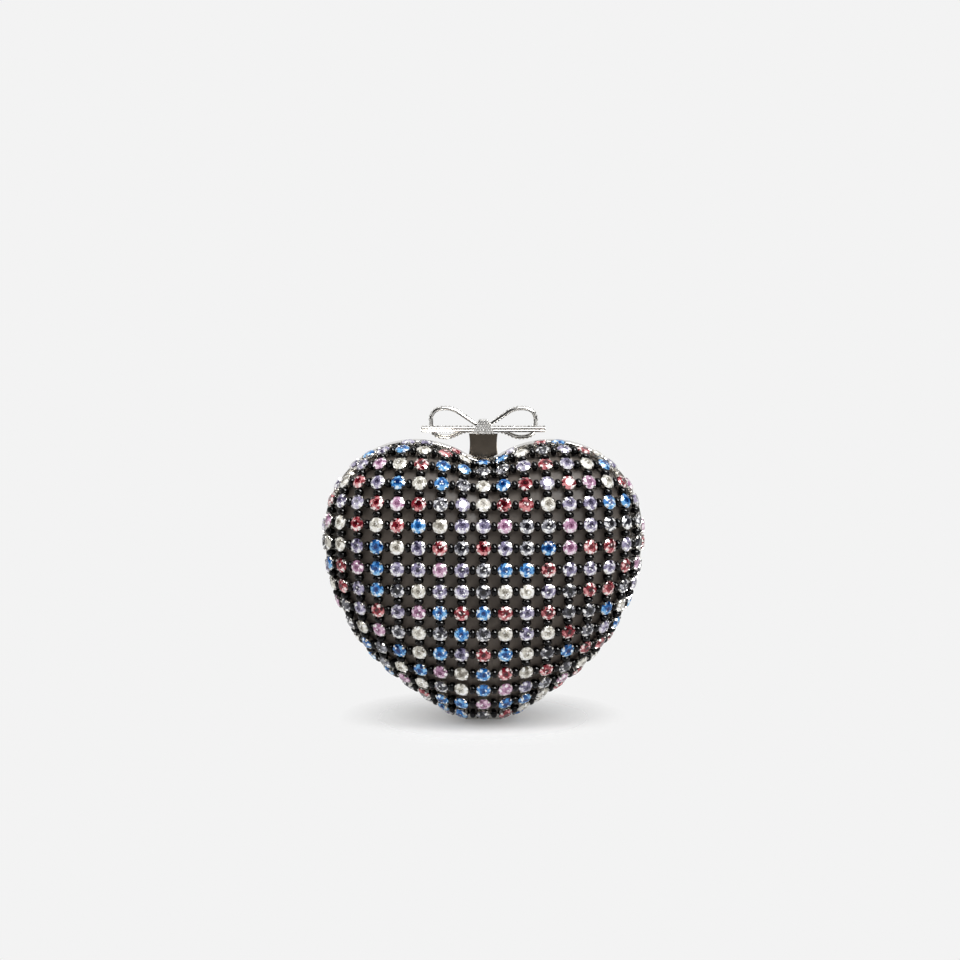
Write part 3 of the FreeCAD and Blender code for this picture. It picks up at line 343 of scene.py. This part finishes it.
cup_metal = handled_material(
    "cup silver", (linear(188, 185, 180), linear(222, 220, 215)), (0.12, 0.24), 300.0, 1.0, 0.02)
cup_sharp_limit = math.radians(35.0)
bead_places = {}
for side in ("front", "back"):
    bead_places[side] = turned_solids(side + "_beads")
    nearest_bead = kdtree.KDTree(len(bead_places[side]))
    for number, (foot, axis, length, _) in enumerate(bead_places[side]):
        nearest_bead.insert(foot + axis * length / 2.0, number)
    nearest_bead.balance()
    places = []
    for foot, axis, *_ in turned_solids(side + "_stone_cups"):
        bead_middle = nearest_bead.find(foot)[0]
        places.append((turn_of(axis, bead_middle - foot), foot))
    cups = joined_copies(side + "_claw_cups", (cup_corners, cup_faces), places)
    cups.data.shade_smooth()
    cups.data.set_sharp_from_angle(angle=cup_sharp_limit)
    cups.data.materials.append(cup_metal)
    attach(cups, side + "_half")
    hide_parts(side + "_stone_cups")


# Stones
# Round brilliant-cut glass stones, backed with foil, in six colours, one in each cup.
# The crown is cut into facets, and the brightness of the foil seen through each facet is painted:
# painted reflections and glints of the foil.

# the dark, body, light and glint tone of each colour: the body is the stone's own colour, and the dark,
# light and glint tones are the foil's reflections and glints, painted
stone_colours_and_painted_reflections = {
    "clear": ((108, 102, 90), (218, 214, 203), (249, 247, 241), (255, 255, 253)),
    "sapphire": ((6, 34, 86), (40, 116, 192), (136, 198, 242), (232, 245, 255)),
    "lavender": ((36, 32, 54), (140, 132, 164), (228, 224, 235), (255, 255, 255)),
    "rose": ((46, 2, 8), (142, 32, 46), (230, 156, 158), (255, 240, 238)),
    "pink": ((104, 58, 88), (190, 142, 174), (238, 212, 228), (255, 248, 252)),
    "smoke": ((7, 7, 10), (58, 58, 66), (178, 178, 186), (255, 255, 255)),
}

# each facet's value picks its tone: the painted dark, light and glint reflections, or the body colour
cut_facets = bpy.data.node_groups.new("cut facets", "ShaderNodeTree")
tone_names = ("Dark", "Body", "Light", "Glint")
for tone in tone_names:
    add_socket(cut_facets, tone, "INPUT", "NodeSocketColor")
add_socket(cut_facets, "Color", "OUTPUT", "NodeSocketColor")
entry = cut_facets.nodes.new("NodeGroupInput")
leaving = cut_facets.nodes.new("NodeGroupOutput")
facet_value = cut_facets.nodes.new("ShaderNodeAttribute")
facet_value.attribute_name = "facet"
reached = entry.outputs["Dark"]
for tone, low, high in (("Body", 0.0, 0.45), ("Light", 0.45, 0.8), ("Glint", 0.85, 1.0)):
    share = cut_facets.nodes.new("ShaderNodeMapRange")
    share.inputs["From Min"].default_value = low
    share.inputs["From Max"].default_value = high
    cut_facets.links.new(facet_value.outputs["Fac"], share.inputs["Value"])
    blend = cut_facets.nodes.new("ShaderNodeMix")
    blend.data_type = "RGBA"
    cut_facets.links.new(share.outputs["Result"], blend.inputs["Factor"])
    cut_facets.links.new(reached, blend.inputs[6])
    cut_facets.links.new(entry.outputs[tone], blend.inputs[7])
    reached = blend.outputs[2]
cut_facets.links.new(reached, leaving.inputs["Color"])


def cut_material(name, tones):
    """A foil-backed cut stone: facets in four tones, the body colour and painted reflections and glints,
    under a clear polished face.
    """
    material = new_material(name)
    shader = shader_of(material)
    tree = material.node_tree
    facets = tree.nodes.new("ShaderNodeGroup")
    facets.node_tree = cut_facets
    for tone, colour in zip(tone_names, tones):
        facets.inputs[tone].default_value = linear(*colour)
    tree.links.new(facets.outputs["Color"], shader.inputs["Base Color"])
    shader.inputs["Metallic"].default_value = 0.05
    shader.inputs["Roughness"].default_value = 0.14
    shader.inputs["Specular IOR Level"].default_value = 0.12
    shader.inputs["Coat Weight"].default_value = 0.7
    shader.inputs["Coat Roughness"].default_value = 0.02
    return material


def ring_of(count, radius, height, shift):
    """Corners spaced evenly round a circle, shifted by a share of a step."""
    corners = []
    for step in range(count):
        angle = 2.0 * math.pi * (step + shift) / count
        corners.append((radius * math.cos(angle), radius * math.sin(angle), height))
    return corners


# sizes in millimetres, with heights from the stone's lowest face
crown_sides = 8
girdle_sides = 16
table_height = 2.58
girdle_radius = 2.58
stone_corners = [(0.0, 0.0, table_height)]
ring_starts = []
for count, radius, height, shift in ((crown_sides, 0.85, table_height, 0.5),
                                     (crown_sides, 1.4, table_height, 0.0),
                                     (crown_sides, 2.0, 2.23, 0.5),
                                     (girdle_sides, girdle_radius, 1.80, 0.0),
                                     (girdle_sides, girdle_radius, 1.66, 0.0),
                                     (girdle_sides, 0.75, 0.0, 0.0)):
    ring_starts.append(len(stone_corners))
    stone_corners += ring_of(count, radius, height, shift)
star, table, kite, girdle, under, culet = ring_starts
stone_faces = []
painted_facet_tones = []
for step in range(crown_sides):
    after = (step + 1) % crown_sides
    before = (step - 1) % crown_sides
    edge = 2 * step
    # the foil as it shows through the table, its reflections painted as darker and lighter facets
    stone_faces.append((0, star + step, star + after))
    painted_facet_tones.append(0.05)
    stone_faces.append((star + step, table + after, star + after))
    painted_facet_tones.append(0.42)
    stone_faces.append((star + step, table + step, table + after))
    painted_facet_tones.append(0.2)
    # the crown: star facet, kite facet and two girdle facets
    stone_faces.append((table + step, kite + step, table + after))
    painted_facet_tones.append(0.55)
    stone_faces.append((table + step, kite + before, girdle + edge, kite + step))
    painted_facet_tones.append(0.4 if step % 2 else 0.85)
    stone_faces.append((kite + step, girdle + edge, girdle + edge + 1))
    painted_facet_tones.append(0.3)
    stone_faces.append((kite + step, girdle + edge + 1, girdle + (edge + 2) % girdle_sides))
    painted_facet_tones.append(0.8)
for step in range(girdle_sides):
    after = (step + 1) % girdle_sides
    stone_faces.append((girdle + step, under + step, under + after, girdle + after))
    painted_facet_tones.append(0.4)
    stone_faces.append((under + step, culet + step, culet + after, under + after))
    painted_facet_tones.append(0.3)
stone_faces.append(tuple(culet + step for step in reversed(range(girdle_sides))))
painted_facet_tones.append(0.3)

facet_middles = []
for face in stone_faces:
    facet_middles.append(np.mean([stone_corners[corner] for corner in face], axis=0))

chance = random.Random(41)
pale_range = (-0.14, 0.1)
# how much the lower facets are painted brighter and the upper ones darker
painted_light_by_height = 0.12
middle_spread = 0.12
spread_by_radius = 0.1
glint_share = 0.06


def any_way():
    """A direction drawn by chance."""
    return Vector((chance.uniform(-1.0, 1.0), chance.uniform(-1.0, 1.0), chance.uniform(-1.0, 1.0)))


for colour, tones in stone_colours_and_painted_reflections.items():
    cut_glass = cut_material(colour + " stone", tones)
    for side in ("front", "back"):
        node = side + "_stones_" + colour
        places = []
        facet_values = []
        for foot, axis, *_ in turned_solids(node):
            turn = turn_of(axis, any_way())
            places.append((turn, foot))
            paleness = chance.uniform(*pale_range)
            for tone, middle in zip(painted_facet_tones, facet_middles):
                # painted light: the lower facets are painted brighter and the upper ones darker, as
                # light from above would fall on them
                rise = float(turn[2, :2] @ middle[:2])
                spread = middle_spread + spread_by_radius * math.hypot(middle[0], middle[1])
                value = tone + paleness - painted_light_by_height * rise + chance.uniform(-spread, spread)
                # painted glint: a few facets, chosen by chance, are set to full brightness
                if chance.random() < glint_share:
                    value = 1.0
                facet_values.append(min(max(value, 0.0), 1.0))
        stones = joined_copies(side + "_cut_" + colour, (stone_corners, stone_faces), places)
        facet = stones.data.attributes.new("facet", "FLOAT", "FACE")
        facet.data.foreach_set("value", facet_values)
        stones.data.materials.append(cut_glass)
        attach(stones, side + "_half")
        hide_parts(node)


# Beads and their thread
# A round black glass bead in each link, on a black thread that runs from cup to cup.
# The bead is turned with full sides, and the thread shows as a short end on each side of it.
black_glass = handled_material(
    "black glass", (linear(1, 1, 1), linear(4, 3, 4)), (0.04, 0.08), 300.0, 0.0, 0.0)
shader_of(black_glass).inputs["Specular IOR Level"].default_value = 0.19
bead_radius = 1.7
bead_length = 2.1
bead_reach = 0.45
bead_fullness = 2.6
bead_steps = 10
bead_sides = 16
bead_profile = [(0.0, 0.0)]
for step in range(1, bead_steps):
    height = bead_length * (1.0 - math.cos(math.pi * step / bead_steps)) / 2.0
    reach = abs(2.0 * height / bead_length - 1.0)
    radius = bead_radius * (1.0 - reach ** bead_fullness) ** (1.0 / bead_fullness)
    bead_profile.append((radius, height))
bead_profile.append((0.0, bead_length))
bead_shape = lathe(bead_profile, bead_sides)
thread_radius = 0.28
thread_end = 0.35
thread_sides = 8
thread_sharp_limit = math.radians(40.0)
thread_top = bead_length + thread_end
thread_shape = lathe(((0.0, -thread_end), (thread_radius, -thread_end), (thread_radius, thread_top),
                      (0.0, thread_top)), thread_sides)
for side in ("front", "back"):
    places = []
    for foot, axis, length, _ in bead_places[side]:
        turn = turn_of(axis, axis.orthogonal())
        shown_length = length + bead_reach * MM
        turn[:, 2] *= shown_length / (bead_length * MM)
        places.append((turn, foot + axis * (length - shown_length) / 2.0))
    beads = joined_copies(side + "_round_beads", bead_shape, places)
    beads.data.shade_smooth()
    beads.data.materials.append(black_glass)
    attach(beads, side + "_half")
    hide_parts(side + "_beads")
    thread = joined_copies(side + "_thread", thread_shape, places)
    thread.data.shade_smooth()
    thread.data.set_sharp_from_angle(angle=thread_sharp_limit)
    thread.data.materials.append(black_glass)
    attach(thread, side + "_half")


# Hinge
# Two pressed leaves on a pin across the tip, in bright steel.
# They are the CAD pieces with a brushed finish.
steel = handled_material(
    "hinge steel", (linear(172, 170, 166), linear(198, 196, 192)), (0.22, 0.36), 260.0, 1.0, 0.05)
put_on(steel, "front_hinge_leaf", "back_hinge_leaf", "hinge_pin")


# Clasp
# A dark polished plate stands in the notch on a pinned knuckle, with its hook, strike and spring.
# The plate's edges are eased so that they catch the light as thin bright lines.
dark_plate = handled_material(
    "dark clasp plate", (linear(82, 75, 67), linear(98, 90, 81)), (0.14, 0.24), 150.0, 1.0, 0.03)
plate_edge = 0.0003
plate = eased_copy("clasp_plate", "clasp_lever", dark_plate, plate_edge)
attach(plate, "clasp")
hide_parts("clasp_lever")
put_on(steel, "clasp_bracket", "clasp_pin", "clasp_spring", "clasp_strike")


# Bow
# Silver ribbons bent into two loops and two tails round a knot, soldered to the plate's top.
# The loops' edges are rounded, and each tail's front is two half-round wires with a groove between.
bow_silver = handled_material(
    "bow silver", (linear(176, 174, 170), linear(208, 206, 202)), (0.06, 0.15), 220.0, 1.0, 0.02)
tail_low, tail_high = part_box("bow_tails")
tail_middle = (tail_low[2] + tail_high[2]) / 2.0
wire_radius = (tail_high[2] - tail_low[2]) / 4.0
wire_centre = tail_low[1] + wire_radius
wire_steps = 12
tail_section = [(tail_high[1], tail_high[2])]
for wire_level in (tail_middle + wire_radius, tail_middle - wire_radius):
    for step in range(wire_steps + 1):
        angle = math.pi / 2.0 + math.pi * step / wire_steps
        across = wire_centre + wire_radius * math.cos(angle)
        tail_section.append((across, wire_level + wire_radius * math.sin(angle)))
tail_section.append((tail_high[1], tail_low[2]))
tail_corners = []
tail_faces = []
section_size = len(tail_section)
knot_inside = 0.003
end_round = 0.0002
end_share = 0.8
for side in (-1.0, 1.0):
    first = len(tail_corners)
    for reach, share in ((knot_inside, 1.0), (tail_high[0] - 2.0 * end_round, 1.0),
                         (tail_high[0] - end_round, 1.0), (tail_high[0], end_share)):
        for across, level in tail_section:
            tail_corners.append((side * reach, across, tail_middle + share * (level - tail_middle)))
    last = len(tail_corners) - section_size
    inner_cap = list(range(first, first + section_size))
    outer_cap = list(range(last + section_size - 1, last - 1, -1))
    strips = []
    for ring in range(first, last, section_size):
        beyond = ring + section_size
        for corner in range(section_size):
            after = (corner + 1) % section_size
            strips.append([ring + corner, beyond + corner, beyond + after, ring + after])
    for face in [inner_cap, outer_cap] + strips:
        tail_faces.append(face if side > 0.0 else face[::-1])
tail_mesh = bpy.data.meshes.new("tail_ribbons")
tail_mesh.from_pydata(tail_corners, [], tail_faces)
tail_mesh.shade_smooth()
tail_sharp_limit = math.radians(40.0)
tail_mesh.set_sharp_from_angle(angle=tail_sharp_limit)
tail_mesh.materials.append(bow_silver)
tails = bpy.data.objects.new("tail_ribbons", tail_mesh)
bpy.context.scene.collection.objects.link(tails)
knot_edge = 0.0003
loop_edge = 0.00045
loop_swell = 0.00015
knot = eased_copy("knot_wrap", "bow_knot", bow_silver, knot_edge)
loops = eased_copy("loop_ribbons", "bow_loops", bow_silver, loop_edge, loop_swell)
for ribbon, node in ((knot, "bow_knot"), (tails, "bow_tails"), (loops, "bow_loops")):
    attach(ribbon, "clasp")
    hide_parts(node)


# Bow crystals
# Tiny clear stones set close together on the outer faces of the ribbons.
# Each is a low cut cone, placed on the ribbons as its CAD crystal is, except on the knot's face.
# their dark, light and glint tones and each facet's brightness are painted reflections and glints, as on
# the stones
crystal_glass = cut_material(
    "bow crystal", ((62, 60, 58), (180, 178, 174), (236, 235, 232), (255, 255, 255)))
crystal_sides = 6
crystal_radius = 0.58
crystal_corners = [(0.0, 0.0, 0.45)]
crystal_corners += ring_of(crystal_sides, 0.30, 0.43, 0.5)
crystal_corners += ring_of(crystal_sides, crystal_radius, 0.14, 0.0)
crystal_corners += ring_of(crystal_sides, crystal_radius, 0.0, 0.0)
top = 1
edge = top + crystal_sides
foot_ring = edge + crystal_sides
crystal_faces = []
painted_crystal_tones = []
for step in range(crystal_sides):
    after = (step + 1) % crystal_sides
    crystal_faces.append((0, top + step, top + after))
    painted_crystal_tones.append(0.8)
    crystal_faces.append((top + step, edge + step, edge + after))
    painted_crystal_tones.append(0.55)
    crystal_faces.append((top + step, edge + after, top + after))
    painted_crystal_tones.append(0.4)
    crystal_faces.append((edge + step, foot_ring + step, foot_ring + after, edge + after))
    painted_crystal_tones.append(0.3)
crystal_faces.append(tuple(foot_ring + step for step in reversed(range(crystal_sides))))
painted_crystal_tones.append(0.3)
faces_forward = -0.9
seats = []
for foot, axis, height, lean in turned_solids("bow_crystals"):
    # the wide face lies on the ribbon, and the surface's middle is nearer to it than the corners' middle
    if lean < 0.0:
        foot = foot + axis * height
        axis = -axis
    if axis.y > faces_forward:
        seats.append((foot, axis, 1.0))
# smaller ones lie close together on the knot's face, in place of the CAD's wider rows there
knot_low, knot_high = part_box("bow_knot")
knot_top_half = 1.6 * MM
knot_pitch = 0.96 * MM
knot_margin = 0.8 * MM
knot_share = 0.8
knot_rows = 6
for row in range(knot_rows):
    rise = (row + 0.5) / knot_rows
    half = knot_high[0] + (knot_top_half - knot_high[0]) * rise
    count = int((2.0 * half - knot_margin) / knot_pitch) + 1
    for number in range(count):
        across = (number - (count - 1) / 2.0) * knot_pitch
        level = knot_low[2] + rise * (knot_high[2] - knot_low[2])
        seats.append((Vector((across, knot_low[1], level)), Vector((0.0, -1.0, 0.0)), knot_share))
crystal_spread = 0.45
places = []
facet_values = []
for foot, axis, share in seats:
    places.append((turn_of(axis, any_way()) * share, foot))
    for tone in painted_crystal_tones:
        value = tone + chance.uniform(-crystal_spread, crystal_spread)
        facet_values.append(min(max(value, 0.0), 1.0))
crystals = joined_copies("ribbon_crystals", (crystal_corners, crystal_faces), places)
facet = crystals.data.attributes.new("facet", "FLOAT", "FACE")
facet.data.foreach_set("value", facet_values)
crystals.data.materials.append(crystal_glass)
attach(crystals, "clasp")
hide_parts("bow_crystals")


# Floor and backdrop
# A pale floor with the purse's soft shadow on it, which runs into a backdrop of the same grey.
# Away from the shadow it lets the backdrop show, so that the open lid is seen below its level.
backdrop = linear(243, 243, 243)


def square_corners(half):
    """The corners of a flat square about the origin."""
    return [(-half, -half, 0.0), (half, -half, 0.0), (half, half, 0.0), (-half, half, 0.0)]


square_face = [(0, 1, 2, 3)]
floor_half = 4.0
shadow_reach = 0.053
least_clear = 0.05
floor_mesh = bpy.data.meshes.new("floor")
floor_mesh.from_pydata(square_corners(floor_half), [], square_face)
floor = bpy.data.objects.new("floor", floor_mesh)
bpy.context.scene.collection.objects.link(floor)
paper = bpy.data.materials.new("floor paper")
paper.use_nodes = True
paper_tree = paper.node_tree
paper_tree.nodes.clear()
paper_out = paper_tree.nodes.new("ShaderNodeOutputMaterial")
matte = paper_tree.nodes.new("ShaderNodeBsdfDiffuse")
matte.inputs["Color"].default_value = backdrop
clear_view = paper_tree.nodes.new("ShaderNodeBsdfTransparent")
paper_mix = paper_tree.nodes.new("ShaderNodeMixShader")
where = paper_tree.nodes.new("ShaderNodeTexCoord")
away = paper_tree.nodes.new("ShaderNodeVectorMath")
away.operation = "LENGTH"
fade = paper_tree.nodes.new("ShaderNodeMapRange")
fade.inputs["From Max"].default_value = shadow_reach
fade.inputs["To Min"].default_value = least_clear
paper_tree.links.new(where.outputs["Object"], away.inputs[0])
paper_tree.links.new(away.outputs["Value"], fade.inputs["Value"])


def seen_rays(tree):
    """One for the rays that see the backdrop: the camera's and those by way of metal or glass."""
    path = tree.nodes.new("ShaderNodeLightPath")
    mirrored = tree.nodes.new("ShaderNodeMath")
    mirrored.operation = "MAXIMUM"
    tree.links.new(path.outputs["Is Camera Ray"], mirrored.inputs[0])
    tree.links.new(path.outputs["Is Glossy Ray"], mirrored.inputs[1])
    through = tree.nodes.new("ShaderNodeMath")
    through.operation = "MAXIMUM"
    tree.links.new(mirrored.outputs["Value"], through.inputs[0])
    tree.links.new(path.outputs["Is Transmission Ray"], through.inputs[1])
    return through.outputs["Value"]


plain = paper_tree.nodes.new("ShaderNodeMath")
plain.operation = "MULTIPLY"
paper_tree.links.new(fade.outputs["Result"], plain.inputs[0])
paper_tree.links.new(seen_rays(paper_tree), plain.inputs[1])
paper_tree.links.new(plain.outputs["Value"], paper_mix.inputs[0])
paper_tree.links.new(matte.outputs["BSDF"], paper_mix.inputs[1])
paper_tree.links.new(clear_view.outputs["BSDF"], paper_mix.inputs[2])
paper_tree.links.new(paper_mix.outputs["Shader"], paper_out.inputs["Surface"])
floor.data.materials.append(paper)
floor.visible_shadow = False


# Light
# A soft light above, a wide weaker one in front, one on each side, and an even studio glow.
# What the camera and the reflections see of the glow is the backdrop's grey.
scene = bpy.context.scene
studio = bpy.data.worlds.new("studio")
scene.world = studio
studio.use_nodes = True
studio_tree = studio.node_tree
studio_tree.nodes.clear()
studio_out = studio_tree.nodes.new("ShaderNodeOutputWorld")
even_glow = studio_tree.nodes.new("ShaderNodeBackground")
white = (1.0, 1.0, 1.0, 1.0)
even_glow.inputs["Color"].default_value = white
even_glow.inputs["Strength"].default_value = 0.34
seen_glow = studio_tree.nodes.new("ShaderNodeBackground")
seen_glow.inputs["Color"].default_value = backdrop
studio_mix = studio_tree.nodes.new("ShaderNodeMixShader")
studio_tree.links.new(seen_rays(studio_tree), studio_mix.inputs[0])
studio_tree.links.new(even_glow.outputs["Background"], studio_mix.inputs[1])
studio_tree.links.new(seen_glow.outputs["Background"], studio_mix.inputs[2])
studio_tree.links.new(studio_mix.outputs["Shader"], studio_out.inputs["Surface"])
aim = Vector((0.0, 0.0, 0.05))
# place, width in metres and power in watts of each lamp
lamps = {
    "above": ((0.1, -0.36, 1.25), 0.45, 10.5),
    "front": ((0.1, -0.95, 1.0), 0.6, 2.5),
    "left": ((-1.2, -0.5, 0.6), 0.4, 2.5),
    "right": ((1.2, -0.6, 0.5), 0.4, 2.5),
}
for name, (place, width, power) in lamps.items():
    lamp_data = bpy.data.lights.new(name, "AREA")
    lamp_data.shape = "SQUARE"
    lamp_data.size = width
    lamp_data.energy = power
    lamp = bpy.data.objects.new(name, lamp_data)
    lamp.location = place
    lamp.rotation_euler = (aim - Vector(place)).to_track_quat("-Z", "Y").to_euler()
    scene.collection.objects.link(lamp)


# Studio cards
# The unlit room behind the camera, shown by metal and glass as dark lines, and a bright card.
# Only reflections see them, so they add no light to the matt pieces.
wall_corners = []
wall_faces = []
wall_steps = 24
wall_levels = (0.0, 12.0, 24.0, 36.0, 48.0, 60.0, 68.0)
wall_radius = 1.7
wall_start = -205.0
wall_sweep = 230.0
for step in range(wall_steps + 1):
    heading = math.radians(wall_start + wall_sweep * step / wall_steps)
    for number, level in enumerate(wall_levels):
        climb = math.radians(level)
        out = wall_radius * math.cos(climb)
        if step and number:
            corner = len(wall_corners)
            beside = corner - len(wall_levels)
            wall_faces.append((corner - 1, corner, beside, beside - 1))
        wall_corners.append((out * math.cos(heading), out * math.sin(heading),
                             wall_radius * math.sin(climb)))
card_half = 0.35
card_corners = square_corners(card_half)
card_place = Vector((0.62, -0.75, 1.05))
card_glow = 50.0
for name, corners, faces, glow_level in (("dark_wall", wall_corners, wall_faces, 0.0),
                                         ("bright_card", card_corners, square_face, card_glow)):
    card_mesh = bpy.data.meshes.new(name)
    card_mesh.from_pydata(corners, [], faces)
    card = bpy.data.objects.new(name, card_mesh)
    scene.collection.objects.link(card)
    paint = new_material(name)
    paint_shader = shader_of(paint)
    paint_shader.inputs["Base Color"].default_value = linear(24, 24, 24)
    paint_shader.inputs["Roughness"].default_value = 1.0
    paint_shader.inputs["Emission Color"].default_value = white
    paint_shader.inputs["Emission Strength"].default_value = glow_level
    card.data.materials.append(paint)
    card.visible_camera = False
    card.visible_diffuse = False
    card.visible_transmission = False
    card.visible_shadow = False
    if glow_level:
        card.location = card_place
        card.rotation_euler = (purse_middle - card_place).to_track_quat("-Z", "Y").to_euler()


# Camera
# In front and a little above, 0.8 m away, so that the purse stands low in the square frame.
# It aims at the purse's upper half, a hair to the left of its middle, as the photograph is framed.
camera_data = bpy.data.cameras.new("camera")
camera_data.sensor_width = 36.0
camera_data.lens = 83.3
camera = bpy.data.objects.new("camera", camera_data)
look_at = Vector((-0.0012, 0.0, 0.0865))
tilt = math.radians(5.6)
distance = 0.8
camera.location = look_at + Vector((0.0, -distance * math.cos(tilt), distance * math.sin(tilt)))
camera.rotation_euler = (look_at - camera.location).to_track_quat("-Z", "Y").to_euler()
scene.collection.objects.link(camera)
scene.camera = camera
scene.view_settings.view_transform = "Standard"
